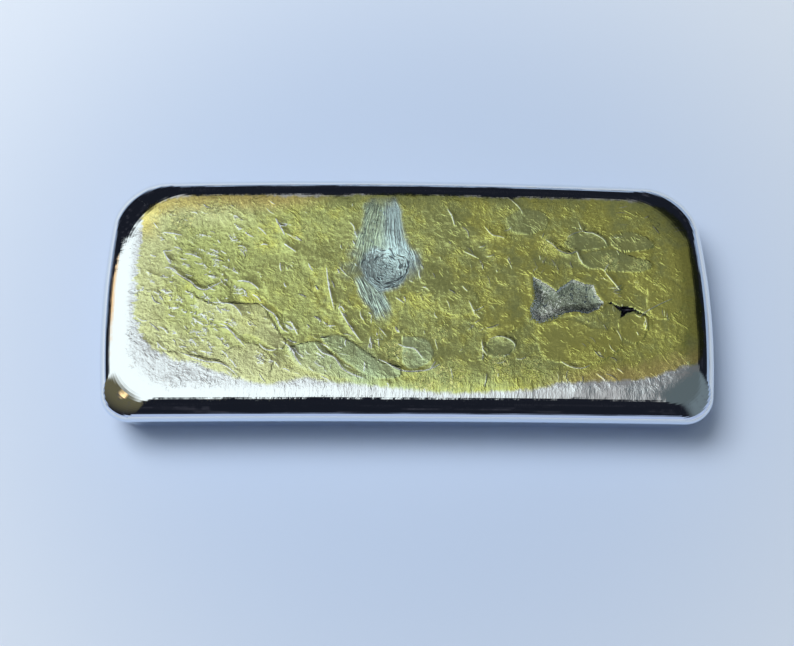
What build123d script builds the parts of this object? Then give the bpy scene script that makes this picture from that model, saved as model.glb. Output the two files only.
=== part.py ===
from build123d import *
import math
import os

# A one-piece metal ingot, cast in an open mould and lying on its base.
# Millimetres, origin under the middle of the base, +X along the bar, +Z up.

# Overall sizes
length = 150.0  # end to end, at the widest line
width = 64.0  # side to side, at the widest line
thickness = 15.7  # base to the crest of the cast top
rim_height = 10.5  # base to the widest line, where the metal stood against the mould
wall_draft = 9.0  # degrees, each wall leaning in towards the base
base_edge_radius = 1.2
base_edge_steps = 3

# Outline at the widest line: how far each side's middle stands out of its corners' line
near_bow = -0.5
right_bow = 2.7
far_bow = 1.6
left_bow = 2.3
near_corner_radius = 6.3
far_corner_radius = 11.3
corner_growth = 0.6  # added to a corner's radius for each millimetre that a section is set in
corner_share = 0.45  # the most of a section's own width that one corner may take

# Rounded shoulder that the molten metal's surface drew between the mould and the top
shoulder_width = 9.0
shoulder_steps = 4

# The middle of the top sank a little as the metal shrank
sag_depth = 0.35
sag_slope_width = 6.0  # crest to the sunken flat, in plan
sag_steps = 2

# Round hollow where the metal froze last
hollow_centre = (-6.3, 8.1)
hollow_diameter = 16.0
hollow_depth = 0.6

# Two patches where the frozen skin tore away, each an outline about its own middle
tear_depth = 0.4
tear_middle = (38.0, 0.0)
tear_outline = [(-7.9, 4.1), (-2.3, 0.3), (2.1, 2.9), (7.1, 1.8), (10.1, -3.2), (5.5, -5.7), (-0.2, -5.4), (-6.3, -7.4)]
slit_depth = 0.6
slit_middle = (53.0, -4.5)
slit_outline = [(-5.0, 2.0), (-1.2, 1.0), (1.4, 0.6), (5.0, -1.0), (0.6, -2.2), (-2.0, -1.4)]


def bar_section(height, inset):
    """The bar's outline at a height, set in from the widest line."""
    right = length / 2 - right_bow - inset
    left = -length / 2 + left_bow + inset
    far = width / 2 - far_bow - inset
    near = -width / 2 + inset
    with BuildSketch(Plane.XY.offset(height)) as section:
        with BuildLine():
            SagittaArc((left, near), (right, near), -near_bow)
            SagittaArc((right, near), (right, far), -right_bow)
            SagittaArc((right, far), (left, far), -far_bow)
            SagittaArc((left, far), (left, near), -left_bow)
        make_face()
        widest_corner = corner_share * (far - near)
        near_corners = section.vertices().group_by(Axis.Y)[0]
        fillet(near_corners, min(near_corner_radius + corner_growth * inset, widest_corner))
        far_corners = section.vertices().group_by(Axis.Y)[-1]
        fillet(far_corners, min(far_corner_radius + corner_growth * inset, widest_corner))
    return section.sketch


def wall_level(step):
    """Height and inset of one section of the wall's rounded foot."""
    angle = math.radians(90) * step / base_edge_steps
    height = base_edge_radius * (1 - math.cos(angle))
    wall_inset = (rim_height - height) * math.tan(math.radians(wall_draft))
    return height, wall_inset + base_edge_radius * (1 - math.sin(angle))


def shoulder_level(step):
    """Height and inset of one section of the shoulder, on a quarter of an ellipse."""
    angle = math.radians(90) * step / shoulder_steps
    height = rim_height + (thickness - rim_height) * math.sin(angle)
    return height, shoulder_width * (1 - math.cos(angle))


def sag_level(step):
    """Height and inset of one section inside the crest, easing down to the sunken flat."""
    share = step / sag_steps
    height = thickness - sag_depth * (1 - math.cos(math.pi * share)) / 2
    return height, shoulder_width + sag_slope_width * share


wall_levels = [wall_level(step) for step in range(base_edge_steps + 1)]
wall_levels.append((rim_height, 0))
top_levels = [shoulder_level(step) for step in range(shoulder_steps + 1)]
top_levels += [sag_level(step) for step in range(1, sag_steps + 1)]
flat_height = thickness - sag_depth
hollow_radius = (hollow_diameter**2 / 4 + hollow_depth**2) / (2 * hollow_depth)

with BuildPart() as ingot:
    loft([bar_section(*level) for level in wall_levels], ruled=True)
    loft([bar_section(*level) for level in top_levels])
    with Locations((*hollow_centre, flat_height - hollow_depth + hollow_radius)):
        Sphere(hollow_radius, mode=Mode.SUBTRACT)
    for middle, outline, depth in (
        (tear_middle, tear_outline, tear_depth),
        (slit_middle, slit_outline, slit_depth),
    ):
        with BuildSketch(Plane.XY.offset(flat_height - depth)):
            with Locations(middle):
                Polygon(*outline, align=None)
        extrude(amount=2 * depth, mode=Mode.SUBTRACT)

ingot.part.label = "ingot"
os.makedirs("parts", exist_ok=True)
export_step(ingot.part, "parts/ingot.step")
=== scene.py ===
import bpy
import math
import random
from mathutils import Matrix, Vector


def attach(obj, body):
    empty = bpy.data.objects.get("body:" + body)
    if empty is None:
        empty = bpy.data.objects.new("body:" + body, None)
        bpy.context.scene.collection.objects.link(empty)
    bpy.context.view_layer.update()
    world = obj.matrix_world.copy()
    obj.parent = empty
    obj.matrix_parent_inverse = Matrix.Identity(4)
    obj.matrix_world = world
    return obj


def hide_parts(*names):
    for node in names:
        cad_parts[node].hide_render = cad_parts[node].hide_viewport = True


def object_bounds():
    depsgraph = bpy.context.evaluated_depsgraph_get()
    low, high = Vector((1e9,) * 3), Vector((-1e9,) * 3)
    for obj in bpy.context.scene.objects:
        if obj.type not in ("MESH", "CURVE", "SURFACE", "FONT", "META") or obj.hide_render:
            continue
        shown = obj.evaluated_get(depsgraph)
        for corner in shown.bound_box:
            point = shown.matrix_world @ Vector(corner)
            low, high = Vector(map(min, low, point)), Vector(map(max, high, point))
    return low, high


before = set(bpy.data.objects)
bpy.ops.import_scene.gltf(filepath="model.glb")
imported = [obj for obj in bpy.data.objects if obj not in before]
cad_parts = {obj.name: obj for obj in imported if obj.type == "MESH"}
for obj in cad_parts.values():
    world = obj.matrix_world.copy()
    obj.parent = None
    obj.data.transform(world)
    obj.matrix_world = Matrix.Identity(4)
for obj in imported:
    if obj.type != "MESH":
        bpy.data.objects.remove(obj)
cadLow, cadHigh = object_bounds()
print("stage: frame loaded")

mm = 0.001
topHeight = cadHigh.z / mm


# A value that runs through a node tree, so that a rule reads as it would on paper
class Wire:
    def __init__(self, tree, socket):
        self.tree = tree
        self.socket = socket

    def __add__(self, other):
        return calc("ADD", self, other)

    def __radd__(self, other):
        return calc("ADD", other, self)

    def __sub__(self, other):
        return calc("SUBTRACT", self, other)

    def __rsub__(self, other):
        return calc("SUBTRACT", other, self)

    def __mul__(self, other):
        return calc("MULTIPLY", self, other)

    def __rmul__(self, other):
        return calc("MULTIPLY", other, self)

    def __truediv__(self, other):
        return calc("DIVIDE", self, other)

    def __abs__(self):
        return calc("ABSOLUTE", self)


def plug(tree, socket, value):
    if isinstance(value, Wire):
        tree.links.new(value.socket, socket)
    else:
        socket.default_value = value


def makeNode(tree, kind, plugs=(), **settings):
    node = tree.nodes.new(kind)
    for name, value in settings.items():
        setattr(node, name, value)
    for place, value in dict(plugs).items():
        plug(tree, node.inputs[place], value)
    return node


def treeOf(values):
    return next(value.tree for value in values if isinstance(value, Wire))


def calc(operation, *values):
    tree = treeOf(values)
    node = makeNode(tree, "ShaderNodeMath", enumerate(values), operation=operation)
    return Wire(tree, node.outputs[0])


def vectorCalc(operation, *values):
    tree = treeOf(values)
    node = makeNode(tree, "ShaderNodeVectorMath", enumerate(values), operation=operation)
    scalar = operation in ("LENGTH", "DISTANCE")
    return Wire(tree, node.outputs["Value" if scalar else "Vector"])


def most(first, *others):  # the largest of several values
    for other in others:
        first = calc("MAXIMUM", first, other)
    return first


def least(first, *others):  # the smallest of several values
    for other in others:
        first = calc("MINIMUM", first, other)
    return first


def clamped(value):  # kept from 0 to 1
    return least(most(value, 0.0), 1.0)


def hypotenuse(x, y):
    return calc("SQRT", x * x + y * y)


def bell(value, width):  # 1 in the middle, falling to nothing past the width
    return calc("EXPONENT", (value * value) / (-1.0 * width * width))


def ramp(value, low, high, start=0.0, end=1.0):  # eases from start at low to end at high
    values = {"Value": value, "From Min": low, "From Max": high, "To Min": start, "To Max": end}
    tree = treeOf(values.values())
    node = makeNode(tree, "ShaderNodeMapRange", values, interpolation_type="SMOOTHSTEP")
    return Wire(tree, node.outputs["Result"])


def xyz(x, y, z=0.0):
    tree = treeOf((x, y, z))
    return Wire(tree, makeNode(tree, "ShaderNodeCombineXYZ", enumerate((x, y, z))).outputs[0])


def scaled(vector, factor):
    node = makeNode(vector.tree, "ShaderNodeVectorMath", {0: vector, "Scale": factor}, operation="SCALE")
    return Wire(vector.tree, node.outputs[0])


def split(vector):
    node = makeNode(vector.tree, "ShaderNodeSeparateXYZ", {0: vector})
    return [Wire(vector.tree, socket) for socket in node.outputs]


def noise(place, scale, detail=2.0, roughness=0.5, distortion=0.0):  # centred on 0, about -0.5 to 0.5
    values = {"Vector": place, "Scale": scale, "Detail": detail, "Roughness": roughness,
              "Distortion": distortion}
    return Wire(place.tree, makeNode(place.tree, "ShaderNodeTexNoise", values).outputs[0]) - 0.5


def cells(place, scale):  # a random colour for each rounded cell
    values = {"Vector": place, "Scale": scale}
    node = makeNode(place.tree, "ShaderNodeTexVoronoi", values, feature="SMOOTH_F1")
    return Wire(place.tree, node.outputs["Color"])


def blend(share, first, second):  # colours, share 0 gives the first
    tree = treeOf((share, first, second))
    node = makeNode(tree, "ShaderNodeMix", data_type="RGBA", clamp_factor=True)
    plug(tree, node.inputs[0], share)
    for place, colour in ((6, first), (7, second)):
        plug(tree, node.inputs[place], colour if isinstance(colour, Wire) else (*colour, 1))
    return Wire(tree, node.outputs[2])


# The photograph's view. The camera was worked out from the bar's outline and its 150 mm length
view = {
    "frameWidth": 794, "frameHeight": 646, "focalPixels": 1150.0,
    "tilt": 20.5,  # degrees off looking straight down
    "turn": -5.48,  # degrees round the bar's upright axis
    "roll": 5.57,  # degrees round the line of sight
    "aim": (-3.03, -6.47, 10.5),  # the point that it looks at, level with the widest line, in millimetres
    "distance": 282.0,  # camera to that point, in millimetres
    "sensor": 36.0, "clipStart": 0.01,
}


def aimCamera():
    tilt, turn, roll = (math.radians(view[name]) for name in ("tilt", "turn", "roll"))
    facing = Matrix.Rotation(turn, 3, "Z") @ Matrix.Rotation(tilt, 3, "X") @ Matrix.Rotation(roll, 3, "Z")
    return facing, Vector(view["aim"]) * mm + facing @ Vector((0, 0, view["distance"] * mm))


cameraFacing, cameraPlace = aimCamera()


def onTop(pixel):  # where a pixel of the photograph lies on the bar's top, in millimetres and in plan
    across = (pixel[0] - view["frameWidth"] / 2) / view["focalPixels"]
    up = (view["frameHeight"] / 2 - pixel[1]) / view["focalPixels"]
    ray = cameraFacing @ Vector((across, up, -1))
    reach = (topHeight * mm - cameraPlace.z) / ray.z
    spot = (cameraPlace + ray * reach) / mm
    return Vector((spot.x, spot.y, 0))


def makeCamera():
    data = bpy.data.cameras.new("photoCamera")
    data.sensor_width = view["sensor"]
    data.lens = view["focalPixels"] / view["frameWidth"] * view["sensor"]
    data.clip_start = view["clipStart"]
    camera = bpy.data.objects.new("photoCamera", data)
    camera.matrix_world = Matrix.Translation(cameraPlace) @ cameraFacing.to_4x4()
    bpy.context.scene.collection.objects.link(camera)
    bpy.context.scene.camera = camera


makeCamera()
print("stage: camera placed", tuple(round(value / mm, 1) for value in cameraPlace))


# Laps and creases of the frozen skin, drawn over the photograph: how marked each is, and the
# pixels that the line runs through
creases = [
    (0.30, [(163, 250), (167, 258), (171, 264)]),
    (0.42, [(170, 268), (180, 275), (190, 281), (198, 288), (206, 289), (214, 285), (222, 281)]),
    (0.28, [(162, 232), (172, 233), (183, 235)]),
    (0.25, [(183, 253), (192, 254), (202, 258)]),
    (0.28, [(236, 280), (248, 281), (256, 286), (259, 290)]),
    (0.25, [(207, 302), (220, 302), (232, 304), (240, 312), (242, 318)]),
    (0.30, [(258, 301), (266, 308), (275, 315), (281, 327), (290, 333)]),
    (0.25, [(216, 322), (225, 325), (232, 332), (240, 341), (246, 347)]),
    (0.30, [(258, 342), (264, 348), (272, 350), (278, 348)]),
    (0.35, [(281, 340), (290, 347), (296, 358), (302, 366)]),
    (0.25, [(175, 350), (190, 356), (205, 361), (220, 363), (232, 370), (240, 380)]),
    (0.22, [(290, 320), (294, 327), (298, 335)]),
    (0.35, [(275, 217), (279, 224), (285, 235)]),
    (0.22, [(283, 243), (290, 247), (297, 252)]),
    (0.30, [(447, 208), (452, 216), (455, 226)]),
    (0.28, [(484, 225), (492, 234), (500, 236), (506, 238)]),
    (0.22, [(463, 250), (472, 254), (480, 258)]),
    (0.35, [(314, 342), (322, 352), (334, 357), (342, 368), (352, 374), (366, 379)]),
    (0.40, [(376, 358), (386, 362), (396, 368), (406, 371), (418, 371), (430, 369), (442, 363)]),
    (0.28, [(396, 342), (404, 346), (414, 348), (420, 354), (424, 360)]),
    (0.22, [(468, 298), (472, 306), (476, 316)]),
    (0.25, [(482, 338), (483, 348), (488, 356)]),
    (0.22, [(486, 340), (498, 336), (508, 338), (515, 344), (513, 352)]),
    (0.22, [(484, 388), (486, 380), (487, 372)]),
    (0.30, [(560, 360), (570, 366), (582, 368), (592, 364)]),
    (0.45, [(545, 238), (552, 243), (560, 250), (570, 253), (577, 251), (580, 258), (584, 264)]),
    (0.30, [(605, 271), (611, 278), (617, 285), (621, 290)]),
    (0.25, [(578, 219), (580, 225), (584, 231), (594, 233), (604, 239), (608, 246)]),
    (0.22, [(566, 238), (574, 233), (586, 230)]),
    (0.22, [(610, 262), (606, 268), (604, 273)]),
    (0.22, [(632, 310), (640, 316), (645, 312), (660, 304), (676, 297)]),
    (0.20, [(616, 328), (620, 334), (623, 342)]),
    (0.20, [(645, 315), (647, 324), (645, 330)]),
    (0.22, [(326, 262), (328, 280), (332, 300), (335, 312)]),
    (0.25, [(338, 306), (345, 318), (353, 330), (362, 342)]),
    (0.22, [(500, 190), (512, 200), (520, 208), (524, 216)]),
]
strokes = {
    # Left, right, near and far bounds in millimetres, clusters, their common direction and its
    # scatter in degrees, and the share of strokes that fall away steeply on their other side
    "fields": [
        (-66, -22, -23, 23, 44, -38, 14, 0.25),
        (-67, -46, -23, 20, 26, -22, 10, 0.1),
        (-60, -18, -24, -10, 22, -40, 10, 0.15),
        (-22, 15, -23, 23, 26, -64, 20, 0.35),
        (15, 66, -23, 23, 24, -75, 50, 0.5),
    ],
    "perCluster": 5,
    "length": (1.0, 4.2),
    "height": (0.01, 0.065),
    "curve": 0.18,  # the most that a stroke bends, as a share of its length
    "scatter": 9,  # degrees between a cluster's strokes
    "spread": 2.8,  # how far a cluster's strokes lie from its middle
    "creaseShare": 0.26,  # the drawn creases stand this share of their listed height
    "seed": 11,
}


def smoothLine(points, spacing=0.3):  # evenly spaced points on a curve through the given ones
    ends = [2 * points[0] - points[1], *points, 2 * points[-1] - points[-2]]
    line = []
    for before, start, end, after in zip(ends, ends[1:], ends[2:], ends[3:]):
        steps = max(2, math.ceil((end - start).length / spacing))
        for step in range(steps):
            share = step / steps
            line.append(0.5 * (2 * start + (end - before) * share
                               + (2 * before - 5 * start + 4 * end - after) * share**2
                               + (3 * start - before - 3 * end + after) * share**3))
    return line + [points[-1]]


def randomStrokes():  # short creases in clusters, following the way the skin was dragged
    draw = random.Random(strokes["seed"])
    lines = []
    for left, right, near, far, clusters, leaning, scatter, turned in strokes["fields"]:
        for _ in range(clusters):
            middle = Vector((draw.uniform(left, right), draw.uniform(near, far), 0))
            common = draw.gauss(leaning, scatter)
            for _ in range(strokes["perCluster"]):
                heading = math.radians(draw.gauss(common, strokes["scatter"]))
                length = draw.uniform(*strokes["length"])
                along = Vector((math.cos(heading), math.sin(heading), 0))
                curve, spread = strokes["curve"], strokes["spread"]
                side = Vector((-along.y, along.x, 0)) * draw.uniform(-curve, curve) * length
                centre = middle + Vector((draw.gauss(0, spread), draw.gauss(0, spread), 0))
                points = [centre - along * length / 2, centre + side, centre + along * length / 2]
                if draw.random() < turned:
                    points.reverse()
                lines.append((draw.uniform(*strokes["height"]), points))
    return lines


def lineMesh(name, lines):  # one mesh of many lines, each point with its height and heading
    mesh = bpy.data.meshes.new(name)
    places, edges, heights, headings = [], [], [], []
    for height, points in lines:
        line = smoothLine(points)
        first = len(places)
        for place, point in enumerate(line):
            share = place / (len(line) - 1)
            ahead, behind = line[min(place + 1, len(line) - 1)], line[max(place - 1, 0)]
            places.append((point.x, point.y, 0))
            heights.append(height * math.sin(math.pi * share) ** 0.6)
            headings.append((ahead - behind).normalized())
        edges += [(first + place, first + place + 1) for place in range(len(line) - 1)]
    mesh.from_pydata(places, edges, [])
    for label, kind, values in (("height", "FLOAT", heights), ("heading", "FLOAT_VECTOR", headings)):
        layer = mesh.attributes.new(label, kind, "POINT")
        for item, value in zip(layer.data, values):
            setattr(item, "vector" if kind == "FLOAT_VECTOR" else "value", value)
    return bpy.data.objects.new(name, mesh)


creaseLines = lineMesh("creaseLines", [
    (height * strokes["creaseShare"], [onTop(pixel) for pixel in pixels]) for height, pixels in creases])
strokeLines = lineMesh("strokeLines", randomStrokes())
for lines in (creaseLines, strokeLines):
    bpy.context.scene.collection.objects.link(lines)
print("stage: creases drawn", len(creases), "and strokes")


# Bright cast metal with a thin straw to olive oxide film over the frozen top
finish = {
    # moulded is the walls' silver tinted blue, a painted reflection of the table's blue shade
    "silver": (0.86, 0.89, 0.91), "moulded": (0.74, 0.82, 0.94), "puckered": (0.62, 0.80, 0.80),
    # fold is a painted dark: painted shade between the puckered strands and painted dark reflections in the
    # torn metal
    # slit is the crack painted near black, a painted shade
    "paintedDark": (0.10, 0.13, 0.16), "slit": (0.05, 0.05, 0.07),
    # speckle is the white of the torn metal's painted reflections and highlight
    "torn": (0.37, 0.42, 0.32), "paintedGlint": (0.95, 1.0, 0.90),
    "straw": (0.80, 0.81, 0.22), "olive": (0.62, 0.68, 0.26), "moss": (0.54, 0.62, 0.30),
    # gold is a painted warm highlight
    "sage": (0.64, 0.80, 0.50), "pale": (0.84, 0.86, 0.46), "goldHighlight": (0.95, 0.82, 0.30),
    "mirrorRoughness": 0.04, "filmRoughness": 0.11, "puckerRoughness": 0.09, "tornRoughness": 0.16,
    "roughnessScatter": 0.04,
}

# Where the skin is puckered over the last metal to freeze, and where it tore away
pucker = {
    "pixel": (387, 267), "halfLong": 6.5, "halfWide": 7.0,  # millimetres
    "hollowPixel": (384, 261), "hollow": 0.5, "hollowRadius": 8.0, "fanPixel": (386, 163),
}
tear = {
    "depth": 0.4, "lip": 0.04,
    "pixels": [(533, 276), (546, 283), (557, 290), (565, 284), (574, 279), (584, 283), (594, 285),
               (597, 294), (604, 302), (598, 309), (588, 313), (577, 311), (566, 312), (553, 318),
               (541, 322), (532, 317), (531, 308), (536, 300), (534, 288)],
}
slit = {
    "depth": 0.35,
    "pixels": [(605, 301), (613, 302), (620, 306), (627, 306), (634, 307), (640, 311), (648, 315),
               (640, 313), (634, 310), (628, 312), (621, 317), (622, 311), (614, 304)],
}


# The edge of the oxide film, in pixels
filmPixels = [
    (140, 222), (146, 208), (166, 198), (196, 194), (240, 193), (300, 195), (345, 194), (400, 192),
    (450, 194), (500, 196), (560, 197), (622, 199), (656, 204), (680, 217), (692, 240), (699, 268),
    (703, 300), (706, 330), (706, 350), (698, 364), (682, 368), (664, 374), (640, 380), (600, 382),
    (560, 384), (540, 389), (500, 392), (460, 393), (430, 392), (400, 389), (370, 386), (345, 384),
    (325, 382), (306, 378), (286, 382), (262, 384), (236, 378), (215, 372), (196, 364), (176, 360),
    (158, 352), (145, 342), (136, 326), (133, 305), (135, 280), (137, 255), (141, 238),
]

# Plates of the skin that differ in colour and lie a little proud: finish, height in millimetres, and
# outline in pixels
plates = [
    ("pale", 0.10, [(194, 295), (212, 303), (228, 302), (240, 303), (260, 304), (268, 313), (274, 323),
                    (280, 333), (286, 341), (280, 349), (268, 345), (252, 335), (238, 333), (228, 323),
                    (212, 319), (200, 311)]),
    ("pale", 0.08, [(220, 355), (236, 345), (252, 343), (266, 351), (272, 359), (270, 371), (260, 377),
                    (248, 381), (240, 375), (230, 365)]),
    ("pale", 0.08, [(166, 351), (184, 353), (204, 357), (220, 361), (232, 371), (240, 377), (228, 377),
                    (208, 373), (192, 365), (176, 361)]),
    ("olive", 0.04, [(208, 327), (228, 327), (240, 335), (244, 345), (228, 347), (216, 341)]),
    ("olive", 0.03, [(224, 271), (280, 263), (300, 271), (312, 287), (316, 303), (292, 315), (276, 307),
                     (260, 295), (240, 283)]),
    ("sage", 0.07, [(286, 347), (316, 341), (332, 355), (350, 371), (366, 379), (336, 377), (300, 367)]),
    ("sage", 0.09, [(320, 337), (340, 335), (360, 347), (380, 361), (400, 367), (398, 377), (376, 377),
                    (354, 367), (336, 354)]),
    ("moss", 0.05, [(564, 243), (572, 235), (592, 231), (604, 236), (608, 245), (592, 249), (574, 249)]),
    ("moss", 0.07, [(610, 236), (620, 233), (636, 233), (654, 243), (648, 249), (624, 251), (612, 244)]),
    ("moss", 0.06, [(580, 255), (592, 251), (612, 249), (630, 255), (652, 263), (644, 271), (620, 271),
                    (600, 269), (584, 265)]),
    ("straw", 0.06, [(618, 319), (632, 313), (648, 317), (646, 335), (636, 343), (622, 335)]),
    ("straw", 0.05, [(540, 321), (572, 319), (592, 327), (616, 331), (622, 347), (600, 361), (572, 363),
                     (548, 359), (538, 343)]),
    ("moss", 0.07, [(486, 347), (490, 339), (504, 335), (516, 341), (512, 351), (500, 357), (488, 355)]),
    ("straw", 0.05, [(648, 287), (666, 279), (680, 287), (684, 303), (676, 315), (660, 319), (648, 307)]),
    ("moss", 0.05, [(506, 217), (524, 209), (544, 213), (548, 225), (532, 233), (512, 231)]),
    ("sage", 0.06, [(402, 335), (426, 339), (434, 355), (420, 367), (404, 365)]),
    ("olive", 0.04, [(440, 287), (466, 283), (480, 303), (460, 315), (440, 307)]),
]

# Places where the skin is crumpled like foil: middle as a pixel, and radius in millimetres
crumples = [
    ((549, 248), 3.0), ((610, 262), 2.2), ((641, 262), 2.0), ((637, 283), 1.2), ((657, 281), 1.2),
    ((440, 335), 2.0), ((452, 374), 4.2), ((500, 366), 3.4), ((533, 368), 3.2), ((424, 384), 3.0),
    ((304, 228), 1.6), ((181, 222), 3.2), ((215, 206), 3.0), ((395, 350), 3.0), ((258, 243), 1.2),
    ((690, 362), 1.6),
]


def outlineMesh(name, outlines, tints=(), heights=(), rounded=True):  # flat shapes over the photograph
    mesh = bpy.data.meshes.new(name)
    places, faces = [], []
    for pixels in outlines:
        corners = [onTop(pixel) for pixel in pixels]
        around = smoothLine([*corners, corners[0]], 0.8)[:-1] if rounded else corners
        faces.append(range(len(places), len(places) + len(around)))
        places += around
    mesh.from_pydata(places, [], faces)
    if tints:
        tint = mesh.attributes.new("tint", "FLOAT_VECTOR", "FACE")
        for face, colour in enumerate(tints):
            tint.data[face].vector = colour
        proud = mesh.attributes.new("proud", "FLOAT", "FACE")
        for face, height in enumerate(heights):
            proud.data[face].value = height
    shape = bpy.data.objects.new(name, mesh)
    bpy.context.scene.collection.objects.link(shape)
    return shape


tearShape = outlineMesh("tearShape", [tear["pixels"]], rounded=False)
slitShape = outlineMesh("slitShape", [slit["pixels"]], rounded=False)
filmShape = outlineMesh("filmShape", [filmPixels])
plateShapes = outlineMesh("plateShapes", [pixels for _, _, pixels in plates],
                          [finish[name] for name, _, _ in plates], [height for _, height, _ in plates])


def shapeOf(tree, thing):
    node = makeNode(tree, "GeometryNodeObjectInfo", transform_space="ORIGINAL")
    node.inputs["Object"].default_value = thing
    return Wire(tree, node.outputs["Geometry"])


def namedValue(tree, kind, label):
    node = makeNode(tree, "GeometryNodeInputNamedAttribute", {"Name": label}, data_type=kind)
    return node.outputs["Attribute"]


def nearestOf(tree, geometry, place, domain):  # reads a value off the nearest point or face of a shape
    nearest = makeNode(tree, "GeometryNodeSampleNearest", {"Geometry": geometry, "Sample Position": place},
                       domain=domain)

    def sample(kind, source):
        node = makeNode(tree, "GeometryNodeSampleIndex", {"Geometry": geometry},
                        data_type=kind, domain=domain)
        tree.links.new(nearest.outputs[0], node.inputs["Index"])
        tree.links.new(source, node.inputs["Value"])
        return Wire(tree, node.outputs[0])

    return sample


# Of the nearest drawn line: its height, which fades out well beside it, and how far to its left and away
def nearestLine(tree, lines, place):
    sample = nearestOf(tree, shapeOf(tree, lines), place, "POINT")
    point = sample("FLOAT_VECTOR", makeNode(tree, "GeometryNodeInputPosition").outputs[0])
    headX, headY, _ = split(sample("FLOAT_VECTOR", namedValue(tree, "FLOAT_VECTOR", "heading")))
    awayX, awayY, _ = split(vectorCalc("SUBTRACT", place, point))
    away = vectorCalc("DISTANCE", place, point)
    height = sample("FLOAT", namedValue(tree, "FLOAT", "height")) * ramp(away, 2.2, 1.0)
    return height, headX * awayY - headY * awayX, away


def nearestPlate(tree, place):  # colour and height of the plate at a place
    sample = nearestOf(tree, shapeOf(tree, plateShapes), place, "FACE")
    tint = sample("FLOAT_VECTOR", namedValue(tree, "FLOAT_VECTOR", "tint"))
    return tint, sample("FLOAT", namedValue(tree, "FLOAT", "proud"))


def edgeAway(tree, shape, place):  # millimetres from the outlines of flat shapes, negative inside
    geometry = shapeOf(tree, shape)
    edge, face = [makeNode(tree, "GeometryNodeProximity", {0: geometry, "Sample Position": place},
                           target_element=element) for element in ("EDGES", "FACES")]
    inside = calc("LESS_THAN", Wire(tree, face.outputs["Distance"]), 0.02)  # more than rounding leaves
    return Wire(tree, edge.outputs["Distance"]) * (1 - 2 * inside)


def keep(tree, geometry, name, value, kind="FLOAT"):  # the value becomes an attribute of the mesh
    node = makeNode(tree, "GeometryNodeStoreNamedAttribute", {"Geometry": geometry, "Name": name},
                    data_type=kind, domain="POINT")
    tree.links.new(value.socket, node.inputs["Value"])
    return Wire(tree, node.outputs[0])


# Relief that is mesh, in millimetres. The creases' crowns are bump, over low banks of mesh
skinRelief = {
    "broad": 0.24, "scales": 0.20, "ripple": 0.13, "swell": 0.40,
    "bankShare": 0.8,  # of a crease's height
    "bankWidth": 0.9,
    "tangle": 0.12,  # of the puckered skin
    "tornFloor": 0.2,  # unevenness where the skin tore away
    "lower": 0.1,  # keeps the relief under the crest
    "crestBlend": 0.15,
}


def topRelief(tree, x, y, seed):  # height over the smooth top, marks for the finish, and the plates' colour
    spot, seeded = xyz(x, y), xyz(x, y, seed)
    broad = skinRelief["broad"] * noise(seeded, 0.055, 1.5)
    warp = xyz(noise(seeded, 0.25, 3.0) * 7, noise(xyz(x, y, seed + 5.0), 0.25, 3.0) * 7)
    scaleHeight, scaleTint, _ = split(cells(vectorCalc("ADD", seeded, warp), 0.13))
    scales = skinRelief["scales"] * (scaleHeight - 0.5)
    ripple = skinRelief["ripple"] * noise(seeded, 0.55, 5.0, 0.62, 0.8)
    creaseHeight, creaseSide, creaseAway = nearestLine(tree, creaseLines, spot)
    strokeHeight, strokeSide, _ = nearestLine(tree, strokeLines, spot)
    banks = skinRelief["bankShare"] * creaseHeight * bell(creaseAway, skinRelief["bankWidth"])

    tint, proud = nearestPlate(tree, spot)
    ragged = 0.9 * noise(seeded, 0.9, 4.0, 0.65)
    plateIn = ramp(edgeAway(tree, plateShapes, spot) + ragged, 0.15, -0.2)
    film = 0.0 - edgeAway(tree, filmShape, spot)

    tearSide, slitSide = edgeAway(tree, tearShape, spot), edgeAway(tree, slitShape, spot)
    lips = tear["lip"] * bell(tearSide - 0.6, 0.6)
    tornFloor = skinRelief["tornFloor"] * noise(seeded, 1.1, 3.0, 0.6) - tear["depth"]
    torn = ramp(tearSide, 0.2, -2.2) * tornFloor - ramp(slitSide, 0.2, -0.8) * slit["depth"]

    middle = onTop(pucker["pixel"])
    outward = hypotenuse((x - middle.x) / pucker["halfLong"], (y - middle.y) / pucker["halfWide"])
    puckerIn = ramp(outward, 1.15, 0.8)
    fromSunk = vectorCalc("DISTANCE", spot, onTop(pucker["hollowPixel"])) / pucker["hollowRadius"]
    tangle = skinRelief["tangle"] * noise(seeded, 0.55, 2.0, 0.5, 2.0)
    puckered = puckerIn * tangle - pucker["hollow"] * ramp(fromSunk, 1.0, 0.0)

    calm = 1 - most(puckerIn, ramp(tearSide, 0.5, -0.5))
    relief = broad + scales + (ripple + banks + proud * plateIn) * calm + lips + torn + puckered
    marks = {"tear": tearSide, "slit": slitSide, "plated": plateIn * calm, "film": film, "scale": scaleTint,
             "creaseHeight": creaseHeight * calm, "creaseSide": creaseSide,
             "strokeHeight": strokeHeight * calm, "strokeSide": strokeSide}
    return relief - skinRelief["lower"], marks, tint


# Sizes of the bar in millimetres and degrees, with the names of the tree's inputs
bar = {
    "Length": 2 * min(cadHigh.x, -cadLow.x) / mm,
    "Width": (cadHigh.y - cadLow.y) / mm,
    "Thickness": topHeight,
    "Rim height": 10.5, "Draft": 9.0, "Base edge": 1.2,
    "Near bow": -0.5, "Right bow": 2.7, "Far bow": 1.6, "Left bow": 2.3,
    "Near corner": 6.3, "Far corner": 11.3,
    "Corner growth": 0.6,  # added to a corner's radius for each millimetre that a ring is set in
    "Shoulder width": 9.0, "Sag depth": 0.35, "Sag slope": 13.0,
    "Cell": 0.37,  # spacing of the mesh on the top
    "Seed": 7,
}
# Rings of a level grid, counted from its border, at which the parts of the bar end
rings = {"border": 0, "edge": 1, "wall": 5, "rim": 13, "crest": 41}
baseMargin = 0.6  # width of the base's flat ring, inside its rounded edge


def ringShare(ring, first, last):  # 0 up to one ring, 1 from a later one
    return clamped((ring - rings[first]) / (rings[last] - rings[first]))


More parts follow.
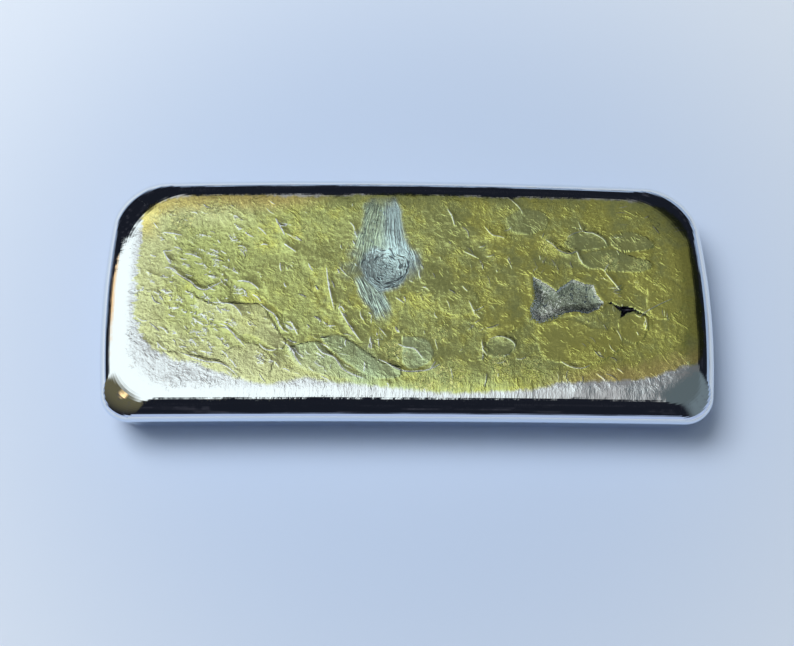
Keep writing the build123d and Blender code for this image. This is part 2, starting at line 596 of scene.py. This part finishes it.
# Where a point of the grid comes to lie, and how far it belongs to an end and not to a side
def ringPlan(size, ring, gridX, gridY, countX, countY, inset, inner):
    # A rectangle with round corners, round which the grid's points are spread
    halfX = (size["Length"] - size["Left bow"] - size["Right bow"]) / 2
    halfY = (size["Width"] - size["Far bow"]) / 2
    isFar = calc("GREATER_THAN", gridY, 0.0)
    corner = size["Near corner"] + isFar * (size["Far corner"] - size["Near corner"])
    radius = most(corner + size["Corner growth"] * (inset - inner) - 0.75 * inner, 0.01)
    reachX, reachY = halfX - inset, halfY - inset
    spanX = abs(gridX) / most(countX - ring, 1.0) * reachX
    spanY = abs(gridY) / most(countY - ring, 1.0) * reachY
    pastX, pastY = spanX - reachX + radius, spanY - reachY + radius
    pastBoth = most(least(pastX, pastY), 0.0)
    lean = pastBoth / most(pastX, pastY, 0.0001) * math.radians(45)
    onEnd, inCorner = calc("GREATER_THAN", pastX, pastY), calc("GREATER_THAN", pastBoth, 0.0)
    toEnd, toSide = calc("COSINE", lean), calc("SINE", lean)
    roundX = reachX - radius + radius * (toSide + onEnd * (toEnd - toSide))
    roundY = reachY - radius + radius * (toEnd + onEnd * (toSide - toEnd))
    planX = (spanX + inCorner * (roundX - spanX)) * calc("SIGN", gridX)
    planY = (spanY + inCorner * (roundY - spanY)) * calc("SIGN", gridY)
    endShare = 0.5 + (onEnd - 0.5) * (1 - lean / math.radians(45))

    # Bowed sides
    alongX, alongY = planX / halfX, planY / halfY
    looseX, looseY = 1 - abs(alongX), 1 - abs(alongY)
    isRight = calc("GREATER_THAN", planX, 0.0)
    bowX = isRight * size["Right bow"] - (1 - isRight) * size["Left bow"]
    bowY = isFar * size["Far bow"] - (1 - isFar) * size["Near bow"]
    shiftX, shiftY = (size["Left bow"] - size["Right bow"]) / 2, size["Far bow"] / 2
    x = planX + bowX * (1 - looseX * looseX) * (1 - alongY * alongY) + shiftX
    y = planY + bowY * (1 - looseY * looseY) * (1 - alongX * alongX) - shiftY
    return x, y, endShare


def closedShell(tree, shell):  # a flat base closes the open edge at the bottom
    border = makeNode(tree, "GeometryNodeMeshToCurve", {"Mesh": shell})
    height = split(Wire(tree, makeNode(tree, "GeometryNodeInputPosition").outputs[0]))[2]
    faceCount = makeNode(tree, "GeometryNodeInputMeshEdgeNeighbors")
    openEdge = calc("LESS_THAN", Wire(tree, faceCount.outputs[0]), 1.5)
    tree.links.new((calc("LESS_THAN", height, 0.01 * mm) * openEdge).socket, border.inputs["Selection"])
    base = makeNode(tree, "GeometryNodeFillCurve", {"Curve": Wire(tree, border.outputs[0])}, mode="NGONS")
    turned = makeNode(tree, "GeometryNodeFlipFaces", {"Mesh": Wire(tree, base.outputs[0])})
    joined = makeNode(tree, "GeometryNodeJoinGeometry")
    tree.links.new(turned.outputs[0], joined.inputs[0])
    tree.links.new(shell.socket, joined.inputs[0])
    merged = makeNode(tree, "GeometryNodeMergeByDistance", {
        "Geometry": Wire(tree, joined.outputs[0]), "Distance": 0.005 * mm})
    return Wire(tree, merged.outputs[0])


def barTree(material):
    tree = bpy.data.node_groups.new("castBar", "GeometryNodeTree")
    tree.interface.new_socket("Geometry", in_out="OUTPUT", socket_type="NodeSocketGeometry")
    for name in bar:
        tree.interface.new_socket(name, in_out="INPUT", socket_type="NodeSocketFloat")
    entry = makeNode(tree, "NodeGroupInput")
    size = {name: Wire(tree, entry.outputs[name]) for name in bar}

    # The level grid
    flatX = bar["Length"] / 2 - bar["Right bow"] - bar["Shoulder width"]
    flatY = (bar["Width"] - bar["Far bow"]) / 2 - bar["Shoulder width"]
    countX, countY = (rings["crest"] + round(flat / bar["Cell"]) for flat in (flatX, flatY))
    grid = makeNode(tree, "GeometryNodeMeshGrid", {
        "Size X": 2.0 * countX, "Size Y": 2.0 * countY,
        "Vertices X": 2 * countX + 1, "Vertices Y": 2 * countY + 1})
    gridX, gridY, _ = split(Wire(tree, makeNode(tree, "GeometryNodeInputPosition").outputs[0]))
    ring = least(countX - abs(gridX), countY - abs(gridY))

    # Height and inset of a ring
    turn = ringShare(ring, "edge", "wall") * math.radians(90)
    wallHeight = size["Base edge"] * (1 - calc("COSINE", turn)) \
        + (size["Rim height"] - size["Base edge"]) * ringShare(ring, "wall", "rim")
    baseInset = size["Rim height"] * calc("TANGENT", size["Draft"] * math.radians(1))
    rise = ringShare(ring, "rim", "crest") * math.radians(90)
    inner = most(ring - rings["crest"], 0.0) * size["Cell"]
    topInset = size["Shoulder width"] * (1 - calc("COSINE", rise)) + inner
    inset = size["Base edge"] * (1 - calc("SINE", turn)) \
        + baseInset * (1 - wallHeight / size["Rim height"]) \
        + topInset + baseMargin * (1 - ringShare(ring, "border", "edge"))
    height = wallHeight + (size["Thickness"] - size["Rim height"]) * calc("SINE", rise) \
        - size["Sag depth"] * ramp(inner, 0.0, size["Sag slope"])

    x, y, endShare = ringPlan(size, ring, gridX, gridY, countX, countY, inset, inner)
    relief, marks, tint = topRelief(tree, x, y, size["Seed"])
    swell = skinRelief["swell"] * noise(xyz(x, y, size["Seed"] + 9.0), 0.07, 3.0, 0.5)
    up = height + relief * ramp(topInset, 4.5, 9.0) + swell * ramp(topInset, 0.3, 5.0)
    up = calc("SMOOTH_MIN", up, size["Thickness"], skinRelief["crestBlend"])

    skin = Wire(tree, grid.outputs["Mesh"])
    marks.update({"shoulder": rise / math.radians(90), "endShare": endShare, "inner": inner})
    for name, value in marks.items():
        skin = keep(tree, skin, name, value)
    skin = keep(tree, skin, "tint", tint, "FLOAT_VECTOR")
    isRim = calc("LESS_THAN", abs(ring - rings["rim"]), 0.1)
    sharp = makeNode(tree, "GeometryNodeSetShadeSmooth", {"Geometry": skin, "Shade Smooth": False},
                     domain="EDGE")
    tree.links.new(isRim.socket, sharp.inputs["Selection"])
    shaped = makeNode(tree, "GeometryNodeSetPosition", {
        "Geometry": Wire(tree, sharp.outputs[0]), "Position": scaled(xyz(x, y, up), mm)})
    closed = closedShell(tree, Wire(tree, shaped.outputs[0]))
    real = makeNode(tree, "GeometryNodeRealizeInstances", {"Geometry": closed})
    coated = makeNode(tree, "GeometryNodeSetMaterial", {"Geometry": Wire(tree, real.outputs[0])})
    coated.inputs["Material"].default_value = material
    leave = makeNode(tree, "NodeGroupOutput")
    tree.links.new(coated.outputs[0], leave.inputs[0])
    return tree


def makeBar(material):
    tree = barTree(material)
    builder = bpy.data.objects.new("barBuilder", bpy.data.meshes.new("barBuilder"))
    bpy.context.scene.collection.objects.link(builder)
    modifier = builder.modifiers.new("castBar", "NODES")
    modifier.node_group = tree
    for item in tree.interface.items_tree:
        if item.in_out == "INPUT":
            modifier[item.identifier] = float(bar[item.name])
    depsgraph = bpy.context.evaluated_depsgraph_get()
    mesh = bpy.data.meshes.new_from_object(builder.evaluated_get(depsgraph), depsgraph=depsgraph)
    builder.modifiers.clear()
    for helper in (builder, creaseLines, strokeLines, tearShape, slitShape, filmShape, plateShapes):
        bpy.data.objects.remove(helper)
    mesh.name = "castIngot"
    piece = bpy.data.objects.new("castIngot", mesh)
    bpy.context.scene.collection.objects.link(piece)
    return piece


def attribute(tree, name, output="Fac"):
    node = makeNode(tree, "ShaderNodeAttribute", attribute_name=name)
    return Wire(tree, node.outputs[output])


def lapOf(side, height):  # a crease that falls away steeply to its right, and its narrow crown
    width = 0.16 + 0.7 * ramp(side, -0.05, 0.20)
    return height * bell(side, width), height * bell(side, 0.17)


# Thin strands of the puckered skin: relief, where they lie, how bare they are, and the core's share
def puckerStrands(x, y):
    middle, fan = onTop(pucker["pixel"]), onTop(pucker["fanPixel"])
    fromX, fromY = x - middle.x, y - middle.y
    spot = xyz(fromX, fromY, 4.0)
    loose = noise(spot, 0.16, 3.0)

    # The core: drop-shaped rings, with a knot in the middle
    outX, outY = fromX / pucker["halfLong"], fromY / pucker["halfWide"]
    outward = hypotenuse(outX, outY)
    bearing = calc("ARCTAN2", fromY, fromX)
    drop = calc("SQRT", outX * outX + outY * outY * ramp(outY, -0.1, 0.9, 1.0, 0.45))
    ripples = noise(xyz(bearing * 1.3, drop * 10.0 + 7.0 * loose, 1.0), 1.0, 1.5, 0.5, 0.5)
    knot = noise(spot, 0.55, 1.5, 0.5, 3.0)
    curl = ripples + ramp(outward + 1.4 * loose, 0.55, 0.15) * (knot - ripples)
    inCore = ramp(outward + 0.9 * loose, 1.05, 0.78)

    # The fan hangs from its apex beyond the far edge
    fanX, fanY = x - fan.x, fan.y - y
    slant = calc("ARCTAN2", fanX, fanY)
    reach = hypotenuse(fanX, fanY)
    hang = noise(xyz(slant * 40.0 + 3.0 * loose, reach * 0.09, 2.0), 1.0, 2.5, 0.6, 0.4)
    inFan = ramp(abs(slant + 0.03 + 0.4 * loose), 0.36, 0.24) * ramp(fromY + 7.0 * loose, -4.0, 1.0) \
        * ramp(fanY + 9.0 * loose, 7.5, 12.0)

    # The trail runs out of the core to the near side
    trailX, trailY = 0.90 * fromX + 0.43 * fromY, 0.43 * fromX - 0.90 * fromY  # across and along
    trail = noise(xyz(trailX * 1.35, trailY * 0.14, 6.0), 1.0, 2.0, 0.5, 0.5)
    inTrail = ramp(abs(trailX + 6.2 + 4.0 * loose), 3.4, 1.8) * ramp(trailY, -2.5, 0.5) \
        * ramp(trailY + 6.0 * loose, 13.0, 8.0)

    outside = hang + ramp(inTrail - inFan, -0.1, 0.1) * (trail - hang)
    strand = abs(outside + inCore * (curl - outside))
    bright = most(inCore, inFan * ramp(slant, -0.12, 0.08), 0.45 * inTrail)
    return strand, most(inCore, inFan, inTrail), bright, inCore


def crumpledShare(flat):  # 1 in the places where the skin is crumpled
    wander = 3.5 * noise(flat, 0.45, 3.0)
    shares = []
    for pixel, radius in crumples:
        away = vectorCalc("DISTANCE", flat, onTop(pixel)) + wander
        shares.append(ramp(away, radius * 1.4, radius * 0.3))
    return most(*shares)


# What the finish depends on at a place of the bar: millimetres, and shares from 0 to 1
class Skin:
    def __init__(self, tree):
        self.place = scaled(Wire(tree, makeNode(tree, "ShaderNodeTexCoord").outputs["Object"]), 1 / mm)
        self.x, self.y, self.z = split(self.place)
        self.flat = xyz(self.x, self.y)
        self.film = attribute(tree, "film")  # distance inside the film's drawn edge
        self.plated = attribute(tree, "plated")
        self.tint = attribute(tree, "tint", "Color")
        self.scale = attribute(tree, "scale")
        self.shoulder = attribute(tree, "shoulder")  # 0 at the widest line, 1 at the crest
        self.inner = attribute(tree, "inner")  # distance inside the crest
        self.endShare = attribute(tree, "endShare")
        self.crease, self.creaseCrown = lapOf(attribute(tree, "creaseSide"), attribute(tree, "creaseHeight"))
        self.stroke, self.strokeCrown = lapOf(attribute(tree, "strokeSide"), attribute(tree, "strokeHeight"))
        self.strand, lie, self.bright, self.inCore = puckerStrands(self.x, self.y)
        self.puckered = lie * ramp(self.film, 0.0, 2.0)
        self.crumpled = crumpledShare(self.flat)
        self.foil = noise(self.flat, 0.9, 4.0, 0.65, 1.2)
        self.drift = noise(self.flat, 0.09, 3.0)

        # The torn places, whose edges are shredded on the left
        shredded = noise(self.flat, 2.6, 3.0, 0.7) * ramp(self.x + self.y, 34.0, 28.0)
        self.tearSide = attribute(tree, "tear") + 1.5 * noise(self.flat, 0.75, 3.0, 0.65) + 4.5 * shredded
        self.slitSide = attribute(tree, "slit") + 0.8 * noise(self.flat, 0.9, 3.0, 0.65)
        self.torn = ramp(self.tearSide, 0.10, -0.10)

        # Strands of the skin that run out over the shoulder, square to the bar's edge
        strandX = noise(xyz(self.x * 1.3, self.y * 0.35, self.z * 0.1), 1.0, 3.0, 0.6)
        strandY = noise(xyz(self.x * 0.35, self.y * 1.3, self.z * 0.1), 1.0, 3.0, 0.6)
        self.edgeStrand = strandX + self.endShare * (strandY - strandX)


def filmColour(skin):  # olive to straw, paler towards the left and near side
    x, y, film = skin.x, skin.y, skin.film
    mottle = noise(skin.flat, 0.30, 5.0, 0.65)
    drawn = 0.5 * (skin.scale - 0.5) + 1.3 * mottle + 0.7 * skin.drift + 0.003 * x
    colour = blend(ramp(drawn, -0.20, 0.35), finish["olive"], finish["straw"])
    sageShare = ramp(noise(skin.flat, 0.06, 2.0) - 0.022 * (y + 12) - 0.010 * abs(x + 8), 0.0, 0.3)
    colour = blend(clamped(0.8 * sageShare + 0.7 * skin.puckered), colour, finish["sage"])
    colour = blend(skin.plated * 0.6, colour, skin.tint)
    nearLeft = x - 1.3 * most(-6.0 - y, 0.0)
    paleTowardsNearLeft = ramp(film + 8.0 * mottle, 14.0, 2.0) * ramp(nearLeft, -28.0, -52.0)
    colour = blend(paleTowardsNearLeft * 0.85, colour, finish["pale"])
    # gold at the far-left and near-right ends and on the crumpled crests: a painted highlight
    goldHighlightEnds = most(ramp(x - 1.2 * y, -45.0, -62.0), ramp(x - 1.6 * y, 62.0, 84.0))
    goldHighlight = goldHighlightEnds * ramp(film + 6.0 * mottle, 6.0, 1.0) * ramp(y * y, 120.0, 300.0)
    goldHighlight = clamped(goldHighlight + 0.7 * skin.crumpled * ramp(skin.foil, -0.02, 0.15))
    colour = blend(goldHighlight, colour, finish["goldHighlight"])
    speckled = 0.9 * noise(skin.flat, 1.3, 5.0, 0.72) * ramp(skin.plated, 1.6, 0.2)
    # brighter on the crumpled crests, a painted highlight; speckled is random tone
    return scaled(colour, 0.97 + speckled + 0.7 * skin.crumpled * ramp(skin.foil, -0.02, 0.2))


def filmShare(skin):  # the film lies inside its edge, rubbed off creases, puckered and torn skin
    frayed = 2.2 * noise(skin.flat, 0.40, 5.0, 0.65) \
        + (0.9 + 3.6 * skin.endShare * ramp(skin.x, 0.0, -50.0)) * skin.edgeStrand
    bare = most(skin.puckered * (0.35 + 0.65 * skin.bright), skin.torn)
    rubbed = ramp(skin.creaseCrown + skin.strokeCrown, 0.015, 0.04) * ramp(skin.x, 25.0, -15.0, 0.45, 0.9)
    return ramp(skin.film + frayed, -0.4, 0.8) * (1 - bare) * (1 - rubbed)


def bareColour(skin):
    # the walls below the shoulder are tinted blue: a painted reflection of the table's blue shade
    colour = blend(ramp(skin.shoulder, 0.25, 0.05), finish["silver"], finish["moulded"])
    return blend(skin.puckered, colour, finish["puckered"])


def tornColour(skin):  # grainy torn metal, with painted reflections as white and dark specks and a painted highlight along its right edge
    flat, x, y = skin.flat, skin.x, skin.y
    grainy = noise(flat, 1.7, 4.0, 0.75) + 0.3 * noise(flat, 0.35, 1.0) - 0.015 * (y + x - 33)
    colour = blend(ramp(grainy, 0.01, 0.10), finish["torn"], finish["paintedGlint"])
    # dark specks: a painted reflection of the dark room
    colour = blend(ramp(noise(flat, 1.1, 4.0, 0.7, 0.6), 0.06, 0.12), colour, finish["paintedDark"])
    # painted highlight along the tear's right edge
    return blend(bell(skin.tearSide + 0.25, 0.25) * ramp(x + y, 30.0, 36.0), colour, finish["paintedGlint"])


# Relief that is bump, in millimetres
fineRelief = {
    "even": 0.032, "rough": 0.080, "fineLines": 0.03, "foil": 0.26, "strand": 0.27,
    "grain": 0.14, "tearStep": 0.13, "slitStep": 0.05, "moulded": 0.012,
    "fringe": 0.05, "fringeDrift": 0.14, "fringeNear": 0.06,
}


def skinBump(skin):
    flat, place, x, y = skin.flat, skin.place, skin.x, skin.y
    along, across = 0.80 * x - 0.60 * y, 0.60 * x + 0.80 * y  # the way the skin was dragged
    dragged = bell(noise(xyz(along * 0.42, across, 3.0), 0.42, 3.0, 0.55, 0.5), 0.035)
    fineLines = dragged * ramp(noise(flat, 0.3, 2.0), 0.0, 0.12)
    roughShare = ramp(skin.drift + 0.1 * ramp(skin.film, 14.0, 3.0) - 0.0012 * x, -0.08, 0.14)
    rough = fineRelief["even"] + fineRelief["rough"] * roughShare
    top = rough * noise(place, 1.0, 6.0, 0.66, 0.5) + fineRelief["fineLines"] * fineLines \
        + skin.crease + skin.stroke + fineRelief["foil"] * skin.crumpled * abs(skin.foil)
    top = top * ramp(skin.shoulder, 0.72, 0.95) * (1 - 0.85 * most(skin.puckered, skin.torn))

    # Where the skin frays out over the shoulder
    fringeIn = ramp(skin.shoulder, 0.50, 0.65) * ramp(skin.inner, 3.0, 0.0) \
        * ramp(abs(skin.endShare - 0.5), 0.25, 0.5) * (1 - 0.75 * skin.endShare)
    fringe = fineRelief["fringe"] + fineRelief["fringeDrift"] * skin.drift \
        + fineRelief["fringeNear"] * ramp(y, 0.0, -20.0) * bell(x + 8.0, 26.0)

    grain = fineRelief["grain"] * noise(place, 1.7, 4.0, 0.7) * skin.torn
    steps = fineRelief["tearStep"] * ramp(skin.tearSide, 0.04, -0.5) \
        + fineRelief["slitStep"] * ramp(skin.slitSide, 0.2, -0.2)
    moulded = fineRelief["moulded"] * noise(place, 0.6, 4.0, 0.6) * ramp(skin.shoulder, 0.3, 0.0)
    strands = fineRelief["strand"] * skin.strand * skin.puckered * (1 - skin.torn)
    return top + skin.edgeStrand * fringeIn * fringe + grain + moulded - steps + strands


def castMetal():
    material = bpy.data.materials.new("castMetal")
    material.use_nodes = True
    tree = material.node_tree
    shader = tree.nodes["Principled BSDF"]
    shader.inputs["Metallic"].default_value = 1.0
    skin = Skin(tree)

    covered = filmShare(skin)
    colour = blend(covered, bareColour(skin), filmColour(skin))
    gap, crown = ramp(skin.strand, 0.035, 0.0), ramp(skin.strand, 0.07, 0.15)
    paintedFoldShade = gap + skin.inCore * (crown - gap)  # painted shade between the strands, and painted dark on their crowns in the core
    colour = blend(0.80 * paintedFoldShade * skin.puckered, colour, finish["paintedDark"])
    colour = blend(skin.torn, colour, tornColour(skin))
    # the slit is painted near black: painted shade in the crack
    colour = blend(ramp(skin.slitSide, 0.08, -0.12), colour, finish["slit"])
    tree.links.new(colour.socket, shader.inputs["Base Color"])

    roughness = finish["mirrorRoughness"] + (finish["filmRoughness"] - finish["mirrorRoughness"]) * covered
    roughness = roughness + (finish["puckerRoughness"] - roughness) * skin.puckered
    roughness = roughness + (finish["tornRoughness"] - roughness) * skin.torn
    roughness = roughness + finish["roughnessScatter"] * noise(skin.place, 0.9, 4.0)
    tree.links.new(roughness.socket, shader.inputs["Roughness"])

    bump = makeNode(tree, "ShaderNodeBump", {"Strength": 1.0, "Distance": mm, "Height": skinBump(skin)})
    tree.links.new(bump.outputs[0], shader.inputs["Normal"])
    return material


ingot = makeBar(castMetal())
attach(ingot, "root")
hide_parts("ingot")
print("stage: bar cast", len(ingot.data.polygons), "faces")


# A pale table top, and a plain studio sky: a large soft panel overhead, dark between it and the horizon
studio = {
    # the table's colour lightens from the first colour to the outer one over the fade: a painted fall-off of
    # light
    "table": (0.565, 0.68, 0.89), "tableLitOutside": (0.80, 0.87, 0.98),
    "tableLightFade": (0.05, 0.17), "tableRadius": 4.0,  # metres
    "lampPlace": (-0.45, 0.30, 0.90), "lampSide": 0.6, "lampPower": 8.0,
    "white": (1.0, 1.0, 1.0), "cool": (0.92, 1.0, 1.0), "coolRight": (0.78, 1.0, 1.08),
    "warm": (0.9, 0.62, 0.34),
    "haze": (0.34, 0.44, 0.62), "hazeNear": (0.45, 0.55, 0.80),
    "dark": (0.010, 0.012, 0.019), "streak": (0.07, 0.07, 0.09),
    "corner": (0.13, 0.12, 0.07), "cornerRight": (0.155, 0.20, 0.225),
    # Places and sizes in degrees from straight up
    "panelMiddle": (-10.0, 13.5), "panelHalf": (54.0, 32.5),
    "ember": (1.6, 1.1, 0.55), "emberAt": (-33.0, -9.0), "emberSize": 5.0,
    "hazeStart": 77.0, "hazeEnd": 81.0,
    # How bright the panel is: its roof, and the window that takes up its near and left parts
    "roof": 0.23, "roofMiddle": 0.15, "roofLeft": 0.34, "roofRight": -0.08, "roofNear": 0.10,
    "window": 0.60, "windowLeft": 0.55, "windowRight": -0.46, "windowCorner": 0.85,
}


def makeTable():
    mesh = bpy.data.meshes.new("table")
    count, radius = 64, studio["tableRadius"]
    turns = [2 * math.pi * step / count for step in range(count)]
    rim = [(radius * math.cos(turn), radius * math.sin(turn), 0) for turn in turns]
    mesh.from_pydata(rim, [], [range(count)])
    table = bpy.data.objects.new("table", mesh)
    bpy.context.scene.collection.objects.link(table)
    material = bpy.data.materials.new("paleTable")
    material.use_nodes = True
    tree = material.node_tree
    shader = tree.nodes["Principled BSDF"]
    place = Wire(tree, makeNode(tree, "ShaderNodeTexCoord").outputs["Object"])
    # painted light: the table is darker near the bar and lighter further out
    away = ramp(vectorCalc("LENGTH", place), *studio["tableLightFade"])
    colour = blend(away, studio["table"], studio["tableLitOutside"])
    tree.links.new(colour.socket, shader.inputs["Base Color"])
    shader.inputs["Roughness"].default_value = 0.6
    shader.inputs["Specular IOR Level"].default_value = 0.2
    mesh.materials.append(material)


def makeLamp():  # a wide soft lamp to the far left, which the metal doesn't mirror
    data = bpy.data.lights.new("softLamp", "AREA")
    data.size, data.energy = studio["lampSide"], studio["lampPower"]
    lamp = bpy.data.objects.new("softLamp", data)
    lamp.location = studio["lampPlace"]
    lamp.rotation_euler = Vector(studio["lampPlace"]).to_track_quat("Z", "Y").to_euler()
    lamp.visible_glossy = False
    bpy.context.scene.collection.objects.link(lamp)


class Sky:  # a direction of the sky, in degrees from straight up
    def __init__(self, toward):
        self.dx, self.dy, dz = split(toward)
        self.fromUp = calc("ARCCOSINE", dz) * math.degrees(1)
        level = most(hypotenuse(self.dx, self.dy), 0.0001)
        self.x, self.y = self.dx / level * self.fromUp, self.dy / level * self.fromUp
        # How far it lies past the panel's straight parts, towards its cut corners
        self.pastLeft, self.pastRight = most(-11.0 - self.x, 0.0), most(self.x - 19.0, 0.0)
        self.pastFar, self.pastNear = most(self.y - 28.0, 0.0), most(18.0 - self.y, 0.0)


def panelShare(sky):
    outX = (sky.x - studio["panelMiddle"][0]) / studio["panelHalf"][0]
    outY = (sky.y - studio["panelMiddle"][1]) / studio["panelHalf"][1]
    outward = calc("POWER", outX * outX * outX * outX + outY * outY * outY * outY, 0.25)
    return ramp(outward, 1.09, 0.94) * ramp(sky.pastLeft * sky.pastFar, 110.0, 55.0) \
        * ramp(sky.pastRight * sky.pastFar, 130.0, 60.0) * ramp(sky.pastLeft * sky.pastNear, 500.0, 220.0)


def panelLight(sky):
    x, y = sky.x, sky.y
    roof = studio["roof"] + studio["roofMiddle"] * ramp(x, 4.0, -3.0) \
        + studio["roofLeft"] * ramp(x, -9.5, -18.0) + studio["roofRight"] * ramp(x, 14.0, 28.0) \
        + studio["roofNear"] * ramp(y, 24.0, 18.0) * ramp(x, 13.0, 4.0)
    window = studio["window"] + studio["windowLeft"] * ramp(x, 10.0, 0.0) \
        + studio["windowRight"] * ramp(x, 8.0, 18.0)
    nearShare = ramp(y + 0.55 * least(x, 0.0), 17.0, 10.0)
    leftShare = ramp(x, -10.5, -16.0) * ramp(y, 40.0, 28.0)
    cornerShare = studio["windowCorner"] * ramp(x, -3.0, -8.0) * ramp(y, 23.5, 19.5)
    strength = roof + (window - roof) * most(nearShare, leftShare, cornerShare)
    light = blend(ramp(strength, 0.5, 0.9), studio["white"], studio["cool"])
    light = blend(ramp(x, -52.0, -60.0) * ramp(y, 18.0, 25.0), light, studio["warm"])
    light = blend(ramp(x, 14.0, 20.0) * nearShare, light, studio["coolRight"])
    return scaled(light, strength)


def lightAround(sky):  # dark, with a brown corner and its ember at the left and a grey corner at the right
    x, y = sky.x, sky.y
    lowLeft = ramp(sky.pastLeft * sky.pastNear, 150.0, 300.0) \
        * ramp(sky.pastNear + 0.6 * sky.pastLeft, 100.0, 40.0)
    around = blend(lowLeft, studio["dark"], studio["corner"])
    fromEmber = vectorCalc("DISTANCE", xyz(x, y), (*studio["emberAt"], 0)) / studio["emberSize"]
    around = blend(ramp(fromEmber, 1.2, 0.4), around, studio["ember"])
    steep = (17.0 - y) / most(x - 17.0, 1.0)
    lowRight = ramp(steep, 0.05, 0.25) * ramp(steep, 3.6, 1.4) * ramp(x, 18.0, 28.0)
    around = blend(lowRight, around, studio["cornerRight"])
    streak = ramp(noise(xyz(x * 0.30, y * 0.05), 1.0, 3.0, 0.6), 0.04, 0.22)
    return blend(0.5 * streak, around, studio["streak"])


def makeSky():
    world = bpy.data.worlds.new("studioSky")
    bpy.context.scene.world = world
    world.use_nodes = True
    tree = world.node_tree
    tree.nodes.clear()
    sky = Sky(Wire(tree, makeNode(tree, "ShaderNodeTexCoord").outputs["Generated"]))
    colour = blend(panelShare(sky), lightAround(sky), panelLight(sky))
    haze = blend(ramp(sky.dy, 0.1, -0.5), studio["haze"], studio["hazeNear"])
    low = ramp(sky.fromUp - 5.0 * sky.dy + 3.0 * sky.dx, studio["hazeStart"], studio["hazeEnd"])
    colour = blend(low, colour, haze)
    background = makeNode(tree, "ShaderNodeBackground", {"Color": colour})
    leave = makeNode(tree, "ShaderNodeOutputWorld")
    tree.links.new(background.outputs[0], leave.inputs[0])


makeLamp()
makeTable()
makeSky()
print("stage: table and sky")

bpy.context.scene.view_settings.view_transform = "Standard"
